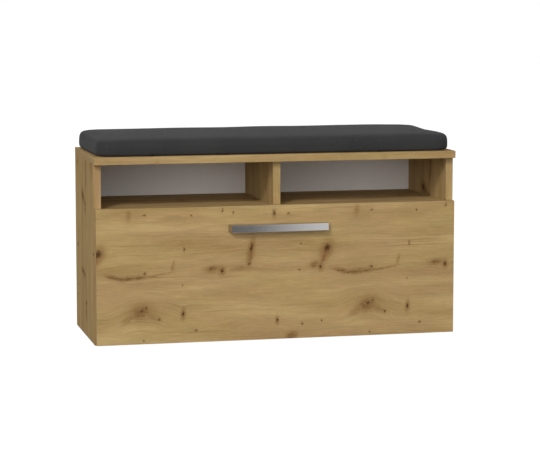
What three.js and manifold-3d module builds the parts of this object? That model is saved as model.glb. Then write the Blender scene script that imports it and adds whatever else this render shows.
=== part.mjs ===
// Entryway bench: a laminated-board carcass with two open niches over one wide drawer,
// which runs on full-extension ball slides, and a seat cushion held by hook-and-loop tape.
// Millimetres. X runs along the bench, the drawer opens towards -Y, and Z is up.
import * as THREE from 'three';
import { mergeVertices } from 'three/addons/utils/BufferGeometryUtils.js';
import Module from 'manifold-3d';

const wasm = await Module();
wasm.setup();

// ---- Driving dimensions: carcass ----
const benchWidth = 800;
const benchDepth = 300;
const carcassHeight = 405;
const board = 16;
const backThickness = 3;
const backInset = 2;
const backFloorGap = 8;
const nicheHeight = 97;
const bottomFloorGap = 10;

// ---- Driving dimensions: drawer ----
const frontSideInset = 1.5;
const frontFloorGap = 2;
const frontRise = 3;
const frontGap = 2;
const drawerRearGap = 25;
const drawerHeadroom = 36;
const drawerLift = 14;
const drawerBottomThickness = 3;
const drawerBottomRise = 10;
const grooveDepth = 8;
const grooveEndGap = 0.5;

// ---- Driving dimensions: ball slides ----
const slideRearGap = 27;
const slideThickness = 12.7;
const slideHeight = 45.4;
const slideSetBack = 2;
const slideRise = 80;
const slideSheet = 1.2;
const slideGap = 0.3;
const ballRadius = 2;
const raceGap = 0.2;
const outerBallInset = 4.6;
const raceAngle = 40;
const lipAngle = 20;
const shoulderAngle = 225;
const innerLipAngle = 215;
const innerRaceEnd = 300;
const middleWebInset = 2.6;
const outerBend = 1.8;
const innerBend = 1.3;
const innerFillet = 0.3;
const middleSetBack = 2;
const cageSetBack = 70;
const cageSheet = 0.4;
const cageWebGap = 0.5;
const cageFlangeOverlap = 0.3;
const innerCageDrop = 0.5;
const cageBalls = 5;
const slideHoleRadius = 2.5;
const slideHoleSpacing = 64;
const slideHoleInset = 29;
const slideSlotLength = 9;
const slideStopReach = 2.4;
const slideStopHeight = 16;

// ---- Driving dimensions: handle ----
const handleLength = 222;
const handleTaper = 4;
const handleProjection = 22;
const handleBow = 3;
const handleBar = 8;
const handleLegWidth = 25;
const handleHeight = 15;
const handleDrop = 48;
const handleEdge = 0.6;
const handleScrewInset = 15;
const handleScrewDepth = 10;

// ---- Driving dimensions: cushion ----
const cushionEndInset = 7;
const cushionFrontInset = 4;
const cushionBackInset = 8;
const cushionThickness = 40;
const cushionCorner = 24;
const cushionRounding = 24;
const cushionLift = 0.3;
const tapeLength = 200;
const tapeWidth = 25;
const tapeThickness = 1;
const tapeEndInset = 73;

// ---- Driving dimensions: fittings ----
const fitGap = 0.3;
const camRadius = 7.5;
const camDepth = 12.5;
const camSocketRadius = 2.6;
const camSocketEndRadius = 1.8;
const camSocketDepth = 2.2;
const boltRadius = 3;
const boltReach = 34;
const threadRadius = 2.5;
const threadLength = 10;
const camEdgeDistance = 50;
const drawerCamInset = 30;
const dowelRadius = 4;
const dowelLength = 30;
const dowelChamfer = 1;
const dowelCover = 4.8;
const screwHeadRadius = 4.8;
const screwHeadHeight = 3.5;
const screwRadius = 2.5;
const screwLength = 50;
const machineScrewRadius = 2;
const machineHeadRadius = 4;
const machineHeadHeight = 2.5;
const bumperRadius = 4;
const bumperDrop = 12;

// ---- Places worked out from the driving dimensions ----
const halfWidth = benchWidth / 2;
const innerHalfWidth = halfWidth - board;
const carcassBack = benchDepth - backThickness;
const sideFront = board + frontGap;
const topUnder = carcassHeight - board;
const shelfTop = topUnder - nicheHeight;
const shelfUnder = shelfTop - board;
const bottomTop = bottomFloorGap + board;
const frontTop = shelfTop + frontRise;
const frontHalfWidth = halfWidth - frontSideInset;
const drawerHalfWidth = innerHalfWidth - slideThickness - slideGap;
const drawerInnerHalf = drawerHalfWidth - board;
const drawerFloor = bottomTop + drawerLift;
const drawerTop = shelfUnder - drawerHeadroom;
const drawerRear = carcassBack - drawerRearGap;
const panelUnder = drawerFloor + drawerBottomRise;
const panelTop = panelUnder + drawerBottomThickness;
const slideFront = sideFront + slideSetBack;
const slideRear = carcassBack - slideRearGap;
const slideCentre = drawerFloor + slideRise;
const handleCentre = frontTop - handleDrop;
const originDepth = (benchDepth - handleProjection) / 2;

// ---- Materials ----
function finish(color, roughness, metalness) {
  return new THREE.MeshStandardMaterial({ color, roughness, metalness });
}

const oak = finish('#a88d5f', 0.55, 0);
const whiteBoard = finish('#d9d9d6', 0.5, 0);
const steel = finish('#b4b8bc', 0.35, 1);
const ballSteel = finish('#d0d3d6', 0.2, 1);
const satinMetal = finish('#a3a6a9', 0.32, 1);
const castZinc = finish('#9b9fa1', 0.45, 1);
const beech = finish('#c9a877', 0.7, 0);
const fabric = finish('#3b3c3e', 0.95, 0);
const tapeBlack = finish('#1f1f20', 0.95, 0);
const clearRubber = finish('#c8ccce', 0.4, 0);

// ---- Geometry helpers ----
const alongX = new THREE.Vector3(1, 0, 0);
const alongY = new THREE.Vector3(0, 1, 0);
const alongZ = new THREE.Vector3(0, 0, 1);

// Moves every vertex to the place that the function gives for it.
function remap(geometry, place) {
  const position = geometry.attributes.position;
  for (let i = 0; i < position.count; i += 1) {
    position.setXYZ(i, ...place(position.getX(i), position.getY(i), position.getZ(i)));
  }
  return geometry;
}

// A box whose faces lie exactly on the given planes.
function block(x0, x1, y0, y1, z0, z1) {
  const unit = new THREE.BoxGeometry(1, 1, 1);
  return remap(unit, (x, y, z) => [x < 0 ? x0 : x1, y < 0 ? y0 : y1, z < 0 ? z0 : z1]);
}

function extruded(points) {
  const shape = new THREE.Shape(points);
  return new THREE.ExtrudeGeometry(shape, { depth: 1, bevelEnabled: false, steps: 1 });
}

// A prism whose section is given by (x, z) points and which runs from y0 to y1.
function prismAlongY(points, y0, y1) {
  return remap(extruded(points), (x, z, depth) => [x, depth > 0 ? y0 : y1, z]);
}

// A turned piece. The profile lists [distance along the axis, radius] and closes on the axis.
function turned(profile, origin, direction, segments) {
  const points = profile.map(([distance, radius]) => new THREE.Vector2(radius, distance));
  const geometry = new THREE.LatheGeometry(points, segments);
  geometry.applyQuaternion(new THREE.Quaternion().setFromUnitVectors(alongY, direction));
  return geometry.translate(origin.x, origin.y, origin.z);
}

// A plain round bar or hole tool from one distance to another along its axis.
function rod(origin, direction, from, to, radius, segments) {
  return turned([[from, 0], [from, radius], [to, radius], [to, 0]], origin, direction, segments);
}

function arcPoints(centre, radius, fromDegrees, toDegrees, steps) {
  const points = [];
  for (let i = 0; i <= steps; i += 1) {
    const angle = THREE.MathUtils.degToRad(fromDegrees + (toDegrees - fromDegrees) * (i / steps));
    points.push([centre[0] + radius * Math.cos(angle), centre[1] + radius * Math.sin(angle)]);
  }
  return points;
}

function toSolid(geometry) {
  const bare = geometry.clone();
  bare.deleteAttribute('normal');
  bare.deleteAttribute('uv');
  const merged = mergeVertices(bare);
  const corners = [];
  for (let i = 0; i < merged.index.count; i += 3) {
    const triangle = [merged.index.getX(i), merged.index.getX(i + 1), merged.index.getX(i + 2)];
    if (new Set(triangle).size === 3) corners.push(...triangle);
  }
  return new wasm.Manifold(new wasm.Mesh({
    numProp: 3,
    vertProperties: new Float32Array(merged.attributes.position.array),
    triVerts: new Uint32Array(corners),
  }));
}

function toGeometry(solid) {
  const mesh = solid.getMesh();
  const geometry = new THREE.BufferGeometry();
  geometry.setAttribute('position', new THREE.BufferAttribute(mesh.vertProperties, 3));
  geometry.setIndex(new THREE.BufferAttribute(mesh.triVerts, 1));
  geometry.computeVertexNormals();
  return geometry;
}

function joined(geometries) {
  return toGeometry(geometries.map(toSolid).reduce((whole, piece) => whole.add(piece)));
}

function cutFrom(geometry, tools) {
  return toGeometry(tools.map(toSolid).reduce((whole, tool) => whole.subtract(tool), toSolid(geometry)));
}

// ---- The model: pieces, and the holes that its fittings ask for ----
const model = new THREE.Group();
const holes = {};

function addPiece(name, geometry, material) {
  const mesh = new THREE.Mesh(geometry, material);
  mesh.name = name;
  model.add(mesh);
}

function addHole(name, tool) {
  holes[name] = [...(holes[name] ?? []), tool];
}

function addBoard(name, geometry, material) {
  addPiece(name, holes[name] ? cutFrom(geometry, holes[name]) : geometry, material);
}

const overrun = 1;
const camFacets = 16;
const boltFacets = 8;
const screwFacets = 12;
const dowelFacets = 12;
const bumperFacets = 12;
const slideHoleFacets = 12;
const ballFacets = 8;
const sides = [['left', -1], ['right', 1]];

function point(x, y, z) {
  return new THREE.Vector3(x, y, z);
}

// A cam fitting: the bolt is screwed into one board, crosses the joint and is drawn up by the
// cam in the other. "into" points from the joint into the cam's board, "mouth" out of its bore.
function addCamFitting(name, boltBoard, camBoard, joint, into, mouth) {
  const centre = joint.clone().addScaledVector(into, boltReach);
  const face = centre.clone().addScaledVector(mouth, board / 2);
  const inward = mouth.clone().negate();
  const back = into.clone().negate();
  const cam = turned([
    [fitGap + camSocketDepth, 0],
    [fitGap + camSocketDepth, camSocketEndRadius],
    [fitGap, camSocketRadius],
    [fitGap, camRadius],
    [camDepth, camRadius],
    [camDepth, 0],
  ], face, inward, camFacets);
  const bolt = turned([
    [-boltRadius, 0],
    [-boltRadius, boltRadius],
    [boltReach, boltRadius],
    [boltReach, threadRadius],
    [boltReach + threadLength, threadRadius],
    [boltReach + threadLength, 0],
  ], centre, back, boltFacets);
  addPiece(name, joined([cam, bolt]), castZinc);
  addHole(camBoard, rod(face, inward, -overrun, camDepth + fitGap, camRadius + fitGap, camFacets));
  addHole(camBoard, rod(centre, back, 0, boltReach + overrun, boltRadius + fitGap, boltFacets));
  const pilotEnd = threadLength + fitGap;
  addHole(boltBoard, rod(joint, back, -overrun, pilotEnd, threadRadius + fitGap, boltFacets));
}

// A countersunk chipboard screw through one board into the edge of another.
function addBoardScrew(name, headBoard, edgeBoard, head, direction) {
  addPiece(name, turned([
    [fitGap, 0],
    [fitGap, screwHeadRadius],
    [fitGap + screwHeadHeight, screwRadius],
    [screwLength - screwRadius, screwRadius],
    [screwLength, 0],
  ], head, direction, screwFacets), steel);
  addHole(headBoard, turned([
    [-overrun, 0],
    [-overrun, screwHeadRadius + fitGap + fitGap],
    [fitGap, screwHeadRadius + fitGap + fitGap],
    [2 * fitGap + screwHeadHeight, screwRadius + fitGap],
    [board + overrun, screwRadius + fitGap],
    [board + overrun, 0],
  ], head, direction, screwFacets));
  const pilotEnd = screwLength + fitGap;
  addHole(edgeBoard, rod(head, direction, board - overrun, pilotEnd, screwRadius + fitGap, screwFacets));
}

// A dowel that stands in the edge of one board and reaches into the face of the next, with
// some of that board's thickness left over its end.
function addDowel(name, faceBoard, edgeBoard, joint, direction) {
  const thin = dowelRadius - dowelChamfer;
  const end = board - dowelCover;
  const start = end - dowelLength;
  addPiece(name, turned([
    [start, 0],
    [start, thin],
    [start + dowelChamfer, dowelRadius],
    [end - dowelChamfer, dowelRadius],
    [end, thin],
    [end, 0],
  ], joint, direction, dowelFacets), beech);
  const radius = dowelRadius + fitGap;
  addHole(faceBoard, rod(joint, direction, -overrun, end + fitGap, radius, dowelFacets));
  addHole(edgeBoard, rod(joint, direction, start - fitGap, overrun, radius, dowelFacets));
}

// ---- Fittings of the carcass ----
const camDepths = [
  ['front', sideFront + camEdgeDistance],
  ['rear', carcassBack - camEdgeDistance],
];

function addCarcassFittings() {
  for (const [side, sign] of sides) {
    const panel = `side_panel_${side}`;
    const inward = point(-sign, 0, 0);
    const down = point(0, 0, -1);
    for (const [row, depth] of camDepths) {
      const topJoint = point(sign * (halfWidth - board / 2), depth, topUnder);
      addCamFitting(`cam_top_${side}_${row}`, 'top_board', panel, topJoint, down, inward);
      const shelfJoint = point(sign * innerHalfWidth, depth, shelfUnder + board / 2);
      addCamFitting(`cam_shelf_${side}_${row}`, panel, 'niche_shelf', shelfJoint, inward, down);
      const bottomJoint = point(sign * innerHalfWidth, depth, bottomFloorGap + board / 2);
      addCamFitting(`cam_bottom_${side}_${row}`, panel, 'bottom_board', bottomJoint, inward, down);
    }
  }
  for (const [row, depth] of camDepths) {
    const foot = point(0, depth, shelfUnder);
    addBoardScrew(`partition_screw_${row}`, 'niche_shelf', 'niche_partition', foot, alongZ);
    const top = point(0, depth, topUnder);
    addDowel(`partition_dowel_${row}`, 'top_board', 'niche_partition', top, alongZ);
  }
}

function addCarcass() {
  for (const [side, sign] of sides) {
    const [x0, x1] = [sign * innerHalfWidth, sign * halfWidth].sort((a, b) => a - b);
    addBoard(`side_panel_${side}`, block(x0, x1, sideFront, carcassBack, 0, topUnder), oak);
  }
  const inner = innerHalfWidth;
  addBoard('top_board', block(-halfWidth, halfWidth, 0, carcassBack, topUnder, carcassHeight), oak);
  addBoard('niche_shelf', block(-inner, inner, sideFront, carcassBack, shelfUnder, shelfTop), oak);
  addBoard('bottom_board', block(-inner, inner, sideFront, carcassBack, bottomFloorGap, bottomTop), oak);
  const partition = block(-board / 2, board / 2, sideFront, carcassBack, shelfTop, topUnder);
  addBoard('niche_partition', partition, oak);
  const backHalf = halfWidth - backInset;
  const backTop = carcassHeight - backInset;
  const backPanel = block(-backHalf, backHalf, carcassBack, benchDepth, backFloorGap, backTop);
  addBoard('back_panel', backPanel, whiteBoard);
}

// ---- Drawer ----
function addDrawerFittings() {
  const back = point(0, 1, 0);
  const camHeights = [
    ['lower', drawerFloor + drawerCamInset],
    ['upper', drawerTop - drawerCamInset],
  ];
  const rearDepth = drawerRear - board / 2;
  for (const [side, sign] of sides) {
    const panel = `drawer_side_${side}`;
    for (const [row, height] of camHeights) {
      const joint = point(sign * (drawerHalfWidth - board / 2), board, height);
      addCamFitting(`cam_drawer_${side}_${row}`, 'drawer_front', panel, joint, back, point(-sign, 0, 0));
      const head = point(sign * drawerHalfWidth, rearDepth, height);
      addBoardScrew(`drawer_screw_${side}_${row}`, panel, 'drawer_back', head, point(-sign, 0, 0));
    }
    const grooveWall = sign * (drawerInnerHalf + grooveDepth);
    const [x0, x1] = [sign * (drawerInnerHalf - overrun), grooveWall].sort((a, b) => a - b);
    addHole(panel, block(x0, x1, board - overrun, drawerRear + overrun, panelUnder, panelTop));
    const bumperSpot = point(sign * (innerHalfWidth + board / 2), board, frontTop - bumperDrop);
    const bumperEnd = frontGap - fitGap;
    addPiece(`bumper_${side}`, turned([
      [0, 0],
      [0, bumperRadius],
      [bumperEnd / 2, bumperRadius],
      [bumperEnd, bumperRadius / 2],
      [bumperEnd, 0],
    ], bumperSpot, alongY, bumperFacets), clearRubber);
  }
  const grooveHalf = drawerInnerHalf + grooveDepth;
  const grooveFront = board - grooveDepth;
  const groove = block(-grooveHalf, grooveHalf, grooveFront, board + overrun, panelUnder, panelTop);
  addHole('drawer_front', groove);
}

function addDrawer() {
  const front = block(-frontHalfWidth, frontHalfWidth, 0, board, frontFloorGap, frontTop);
  addBoard('drawer_front', front, oak);
  for (const [side, sign] of sides) {
    const [x0, x1] = [sign * drawerInnerHalf, sign * drawerHalfWidth].sort((a, b) => a - b);
    addBoard(`drawer_side_${side}`, block(x0, x1, board, drawerRear, drawerFloor, drawerTop), whiteBoard);
  }
  const inner = drawerInnerHalf;
  const back = block(-inner, inner, drawerRear - board, drawerRear, panelTop, drawerTop);
  addBoard('drawer_back', back, whiteBoard);
  const panelHalf = drawerInnerHalf + grooveDepth - grooveEndGap;
  const panelFront = board - grooveDepth + grooveEndGap;
  const bottom = block(-panelHalf, panelHalf, panelFront, drawerRear, panelUnder, panelTop);
  addBoard('drawer_bottom', bottom, whiteBoard);
}

// ---- Ball slides: three nested roll-formed members with two ball cages ----
const raceRadius = ballRadius + raceGap;
const backRadius = raceRadius + slideSheet;
const halfSlide = slideHeight / 2;
const outerBall = [outerBallInset, halfSlide - backRadius];
const ballStep = raceRadius + backRadius;
const raceTurn = THREE.MathUtils.degToRad(raceAngle);
const innerBall = [
  outerBall[0] + ballStep * Math.cos(raceTurn),
  outerBall[1] - ballStep * Math.sin(raceTurn),
];
const arcSteps = 4;

// Height on a circle round a ball where a flat sheet face at the given inset meets its underside.
function underside(ball, radius, inset) {
  return ball[1] - Math.sqrt(radius ** 2 - (inset - ball[0]) ** 2);
}

function angleOn(ball, at) {
  return THREE.MathUtils.radToDeg(Math.atan2(at[1] - ball[1], at[0] - ball[0])) + 360;
}

// Each section is drawn for its upper half as [inset from the side panel, height], first along
// the face towards the balls of the panel side and then back along the other face.
function outerSection() {
  const web = slideSheet;
  const corner = [outerBend, halfSlide - outerBend];
  return {
    outside: [
      ...arcPoints(outerBall, backRadius, lipAngle, 90, arcSteps),
      ...arcPoints(corner, outerBend, 90, 180, 2),
    ],
    inside: [
      ...arcPoints(corner, outerBend - web, 180, 90, 1),
      ...arcPoints(outerBall, raceRadius, 90, lipAngle, arcSteps),
    ],
  };
}

function middleSection() {
  const webFace = middleWebInset + slideSheet;
  const webTop = [webFace, underside(outerBall, backRadius, webFace)];
  const shoulder = arcPoints(outerBall, raceRadius, -raceAngle, shoulderAngle - 360, arcSteps);
  const peak = shoulder[shoulder.length - 1];
  return {
    outside: [
      ...arcPoints(innerBall, backRadius, lipAngle, 180 - raceAngle, arcSteps),
      ...shoulder.slice(1),
      [middleWebInset, peak[1] - (peak[0] - middleWebInset)],
    ],
    inside: [
      ...arcPoints(outerBall, backRadius, angleOn(outerBall, webTop), 360 - raceAngle, arcSteps),
      ...arcPoints(innerBall, raceRadius, 180 - raceAngle, lipAngle, arcSteps).slice(1),
    ],
  };
}

function innerSection() {
  const race = arcPoints(innerBall, raceRadius, innerLipAngle, innerRaceEnd, arcSteps);
  const flangeTop = race[race.length - 1][1];
  const corner = [slideThickness - innerBend, flangeTop - innerBend];
  const flangeUnder = flangeTop - slideSheet;
  const reach = Math.sqrt(backRadius ** 2 - (innerBall[1] - flangeUnder) ** 2);
  const meet = [innerBall[0] + reach, flangeUnder];
  const webFace = slideThickness - slideSheet;
  return {
    outside: [...race, ...arcPoints(corner, innerBend, 90, 0, 2)],
    inside: [
      [webFace, flangeUnder - innerFillet],
      [webFace - innerFillet, flangeUnder],
      ...arcPoints(innerBall, backRadius, angleOn(innerBall, meet), innerLipAngle, arcSteps),
    ],
  };
}

// A cage is a thin channel whose flanges carry the balls on their centres or just below.
function cageSection(webInset, flangeHeight, flangeEnd) {
  const half = cageSheet / 2;
  return {
    outside: [[flangeEnd, flangeHeight + half], [webInset - half, flangeHeight + half]],
    inside: [[webInset + half, flangeHeight - half], [flangeEnd, flangeHeight - half]],
  };
}

// Closes a half section by mirroring it in the slide's middle plane and places it on one side.
function slidePoints(section, sign) {
  const lower = (points) => points.map(([inset, height]) => [inset, -height]).reverse();
  const outline = [
    ...section.outside,
    ...lower(section.outside),
    ...lower(section.inside),
    ...section.inside,
  ];
  return outline.map(([inset, height]) => (
    new THREE.Vector2(sign * (innerHalfWidth - inset), slideCentre + height)
  ));
}

// Screw holes along a member's web, the same distance in from both ends. Every second hole is a
// slot, which lets the member be set true before the round holes fix it.
function slideHoles(sign, inset) {
  const room = slideRear - slideFront - 2 * slideHoleInset;
  const count = Math.floor(room / slideHoleSpacing) + 1;
  const web = sign * (innerHalfWidth - inset);
  const halfSlot = slideSlotLength / 2 - slideHoleRadius;
  const under = slideCentre - slideHoleRadius;
  const over = slideCentre + slideHoleRadius;
  const tools = [];
  for (let i = 0; i < count; i += 1) {
    const depth = slideFront + slideHoleInset + i * slideHoleSpacing;
    const isSlot = i % 2 === 1;
    for (const y of isSlot ? [depth - halfSlot, depth + halfSlot] : [depth]) {
      const spot = point(web, y, slideCentre);
      tools.push(rod(spot, alongX, -overrun, overrun, slideHoleRadius, slideHoleFacets));
    }
    if (isSlot) {
      tools.push(block(web - overrun, web + overrun, depth - halfSlot, depth + halfSlot, under, over));
    }
  }
  return tools;
}

function cage(sign, section, ball) {
  const start = slideFront + cageSetBack;
  const end = slideRear - cageSetBack;
  const channel = prismAlongY(slidePoints(section, sign), start, end);
  const pitch = (end - start) / cageBalls;
  const across = sign * (innerHalfWidth - ball[0]);
  const balls = [];
  for (let i = 0; i < cageBalls; i += 1) {
    for (const row of [-1, 1]) {
      const sphere = new THREE.SphereGeometry(ballRadius, ballFacets, ballFacets / 2);
      balls.push(sphere.translate(across, start + pitch * (i + 0.5), slideCentre + row * ball[1]));
    }
  }
  return joined([channel, ...balls]);
}

// The tab at the rear of the outer member, bent in from its web, that the middle member stops at.
function slideStop(sign) {
  const reach = [slideSheet / 2, slideSheet + slideStopReach];
  const [x0, x1] = reach.map((inset) => sign * (innerHalfWidth - inset)).sort((a, b) => a - b);
  const under = slideCentre - slideStopHeight / 2;
  return block(x0, x1, slideRear - slideSheet, slideRear, under, under + slideStopHeight);
}

function addSlide(side, sign) {
  const member = (section, setBack) => (
    prismAlongY(slidePoints(section, sign), slideFront + setBack, slideRear - setBack)
  );
  const outer = joined([member(outerSection(), 0), slideStop(sign)]);
  addPiece(`slide_outer_${side}`, cutFrom(outer, slideHoles(sign, slideSheet / 2)), steel);

  const middle = member(middleSection(), middleSetBack);
  const middleHoles = slideHoles(sign, middleWebInset + slideSheet / 2);
  addPiece(`slide_middle_${side}`, cutFrom(middle, middleHoles), steel);

  const inner = member(innerSection(), 0);
  const innerHoles = slideHoles(sign, slideThickness - slideSheet / 2);
  addPiece(`slide_inner_${side}`, cutFrom(inner, innerHoles), steel);

  const flangePast = ballRadius + cageFlangeOverlap;
  const outerWebInset = (slideSheet + middleWebInset) / 2;
  const outerCage = cageSection(outerWebInset, outerBall[1], outerBall[0] + flangePast);
  addPiece(`ball_cage_outer_${side}`, cage(sign, outerCage, outerBall), ballSteel);

  const innerWebInset = middleWebInset + slideSheet + cageWebGap + cageSheet / 2;
  const flange = innerBall[1] - innerCageDrop;
  const innerCage = cageSection(innerWebInset, flange, innerBall[0] + flangePast);
  addPiece(`ball_cage_inner_${side}`, cage(sign, innerCage, innerBall), ballSteel);
}

// ---- Handle: a cast bow with its two legs on the drawer front ----
function addHandle() {
  const rootHalf = handleLength / 2;
  const frontHalf = rootHalf - handleTaper;
  const openHalf = rootHalf - handleLegWidth;
  const cornerDepth = handleProjection - handleBow;
  const openDepth = handleProjection - handleBar;
  const bowSteps = 16;
  const openingSteps = 20;
  const squareness = 0.5;
  const outline = [[rootHalf, 0]];
  for (let i = 0; i <= bowSteps; i += 1) {
    const across = 1 - (2 * i) / bowSteps;
    outline.push([frontHalf * across, -cornerDepth - handleBow * (1 - across ** 2)]);
  }
  outline.push([-rootHalf, 0]);
  // The opening behind the bar is half of a superellipse.
  for (let i = 0; i <= openingSteps; i += 1) {
    const turn = Math.PI * (1 - i / openingSteps);
    const across = Math.sign(Math.cos(turn)) * Math.abs(Math.cos(turn)) ** squareness;
    outline.push([openHalf * across, -openDepth * Math.sin(turn) ** squareness]);
  }
  const shape = new THREE.Shape(outline.map(([x, y]) => new THREE.Vector2(x, y)));
  const bow = new THREE.ExtrudeGeometry(shape, {
    depth: handleHeight - 2 * handleEdge,
    bevelEnabled: true,
    bevelThickness: handleEdge,
    bevelSize: handleEdge,
    bevelOffset: -handleEdge,
    bevelSegments: 1,
  });
  bow.translate(0, 0, handleCentre - handleHeight / 2 + handleEdge);
  const threads = [];
  for (const [side, sign] of sides) {
    const axis = point(sign * (rootHalf - handleScrewInset), board, handleCentre);
    const forward = point(0, -1, 0);
    const tip = board + handleScrewDepth;
    const bore = machineScrewRadius + fitGap;
    addPiece(`handle_screw_${side}`, turned([
      [-machineHeadHeight, 0],
      [-machineHeadHeight, machineHeadRadius / 2],
      [-machineHeadHeight / 2, machineHeadRadius],
      [0, machineHeadRadius],
      [0, machineScrewRadius],
      [tip, machineScrewRadius],
      [tip, 0],
    ], axis, forward, screwFacets), steel);
    addHole('drawer_front', rod(axis, forward, -overrun, board + overrun, bore, screwFacets));
    threads.push(rod(axis, forward, board - overrun, tip + fitGap, bore, screwFacets));
  }
  addPiece('handle', cutFrom(bow, threads), satinMetal);
}

// ---- Cushion: crowned pad with rounded edges, and the tape that holds it ----
function roundedRing(halfX, halfY, radius, z, centreY) {
  const steps = 4;
  const ring = [];
  const corners = [[1, 1, 0], [-1, 1, 90], [-1, -1, 180], [1, -1, 270]];
  for (const [signX, signY, from] of corners) {
    const centre = [signX * (halfX - radius), centreY + signY * (halfY - radius)];
    ring.push(...arcPoints(centre, radius, from, from + 90, steps).map(([x, y]) => [x, y, z]));
  }
  return ring;
}

// A closed skin over rings of equal point count, stacked from the bottom to the top.
function lofted(rings) {
  const count = rings[0].length;
  const vertices = rings.flat();
  const indices = [];
  for (let level = 0; level < rings.length - 1; level += 1) {
    for (let i = 0; i < count; i += 1) {
      const next = (i + 1) % count;
      const a = level * count + i;
      const b = level * count + next;
      indices.push(a, b, b + count, a, b + count, a + count);
    }
  }
  for (const [level, flip] of [[0, true], [rings.length - 1, false]]) {
    const middle = vertices.length;
    const ring = rings[level];
    const sum = ring.reduce((total, p) => [total[0] + p[0], total[1] + p[1]], [0, 0]);
    vertices.push([sum[0] / count, sum[1] / count, ring[0][2]]);
    for (let i = 0; i < count; i += 1) {
      const a = level * count + i;
      const b = level * count + ((i + 1) % count);
      indices.push(...(flip ? [b, a, middle] : [a, b, middle]));
    }
  }
  const geometry = new THREE.BufferGeometry();
  geometry.setAttribute('position', new THREE.Float32BufferAttribute(vertices.flat(), 3));
  geometry.setIndex(indices);
  return geometry;
}

function addCushion() {
  const halfX = halfWidth - cushionEndInset;
  const front = cushionFrontInset;
  const back = benchDepth - cushionBackInset;
  const halfY = (back - front) / 2;
  const centreY = (front + back) / 2;
  const bottom = carcassHeight + cushionLift;
  // Share of the thickness, and share of the rounding that this level lies inside the widest one.
  const levels = [
    [0, 0.25],
    [0.06, 0.08],
    [0.2, 0],
    [0.6, 0],
    [0.8, 0.08],
    [0.92, 0.27],
    [0.98, 0.54],
    [1, 1],
  ];
  const rings = levels.map(([thicknessShare, roundingShare]) => {
    const inset = roundingShare * cushionRounding;
    const corner = Math.max(cushionCorner - inset, cushionCorner / 4);
    const height = bottom + thicknessShare * cushionThickness;
    return roundedRing(halfX - inset, halfY - inset, corner, height, centreY);
  });
  const pockets = [];
  const pocketTop = bottom + 2 * tapeThickness + fitGap;
  for (const [side, sign] of sides) {
    const outerEnd = halfX - tapeEndInset;
    const [x0, x1] = [sign * (outerEnd - tapeLength), sign * outerEnd].sort((a, b) => a - b);
    const y0 = centreY - tapeWidth / 2;
    const y1 = y0 + tapeWidth;
    pockets.push(block(x0 - fitGap, x1 + fitGap, y0 - fitGap, y1 + fitGap, bottom - overrun, pocketTop));
    const hookTop = carcassHeight + tapeThickness;
    addPiece(`hook_strip_${side}`, block(x0, x1, y0, y1, carcassHeight, hookTop), tapeBlack);
    addPiece(`loop_strip_${side}`, block(x0, x1, y0, y1, hookTop + fitGap, pocketTop - fitGap), tapeBlack);
  }
  addPiece('seat_cushion', cutFrom(lofted(rings), pockets), fabric);
}

addCarcassFittings();
addDrawerFittings();
addHandle();
addCarcass();
addDrawer();
for (const [side, sign] of sides) {
  addSlide(side, sign);
}
addCushion();

// The origin is on the floor below the middle of the whole bench, handle included.
model.position.set(0, -originDepth, 0);

const bench = new THREE.Group();
bench.add(model);

export default bench;
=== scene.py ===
"""Looks of the entryway bench: board decor, seat cushion, small trim, light and camera.

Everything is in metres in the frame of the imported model: X along the bench, the drawer
opens towards -Y, Z up, with the floor at zero.
"""
import math

import bmesh
import bpy
import numpy as np
from mathutils import Matrix, Vector, noise


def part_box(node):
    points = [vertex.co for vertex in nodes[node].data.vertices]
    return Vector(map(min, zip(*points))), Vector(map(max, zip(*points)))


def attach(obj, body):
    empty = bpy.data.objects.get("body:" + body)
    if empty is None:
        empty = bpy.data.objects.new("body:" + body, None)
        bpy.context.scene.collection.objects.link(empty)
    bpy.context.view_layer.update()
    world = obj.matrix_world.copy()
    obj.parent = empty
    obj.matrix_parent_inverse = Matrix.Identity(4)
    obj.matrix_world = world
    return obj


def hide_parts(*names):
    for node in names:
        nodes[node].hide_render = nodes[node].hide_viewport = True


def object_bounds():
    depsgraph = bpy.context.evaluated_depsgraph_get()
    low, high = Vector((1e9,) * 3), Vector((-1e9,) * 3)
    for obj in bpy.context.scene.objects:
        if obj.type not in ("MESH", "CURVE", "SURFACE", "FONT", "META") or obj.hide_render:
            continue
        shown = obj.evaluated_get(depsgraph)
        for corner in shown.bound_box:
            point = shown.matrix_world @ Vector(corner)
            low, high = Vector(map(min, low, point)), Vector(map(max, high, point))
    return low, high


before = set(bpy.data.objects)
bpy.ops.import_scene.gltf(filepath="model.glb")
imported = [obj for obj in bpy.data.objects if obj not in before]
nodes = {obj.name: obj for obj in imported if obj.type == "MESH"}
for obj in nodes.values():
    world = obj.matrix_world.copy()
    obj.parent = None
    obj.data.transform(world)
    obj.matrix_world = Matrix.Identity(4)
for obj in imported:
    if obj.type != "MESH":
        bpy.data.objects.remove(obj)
cad_low, cad_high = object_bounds()

MM = 0.001
X, Y, Z = 0, 1, 2
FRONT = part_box("drawer_front")[0].y


# ---- Camera, light and stage ----

# Angles in radians, the lens and the sensor in millimetres.
CAMERA_PLACE = (-1.0229, FRONT - 4.2542, 0.7722)
CAMERA_PITCH = 0.11844
CAMERA_YAW = 0.23168
CAMERA_LENS = 135.85
CAMERA_CLIP = (0.05, 60)
SENSOR_WIDTH = 36

# The key lamp stands far off, in this direction from the middle of the bench.
KEY_DIRECTION = Vector((-0.390, -0.719, 0.575)).normalized()
KEY_DISTANCE = 20
KEY_PLACE = KEY_DIRECTION * KEY_DISTANCE + Vector((0, 0, 0.22))

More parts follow.
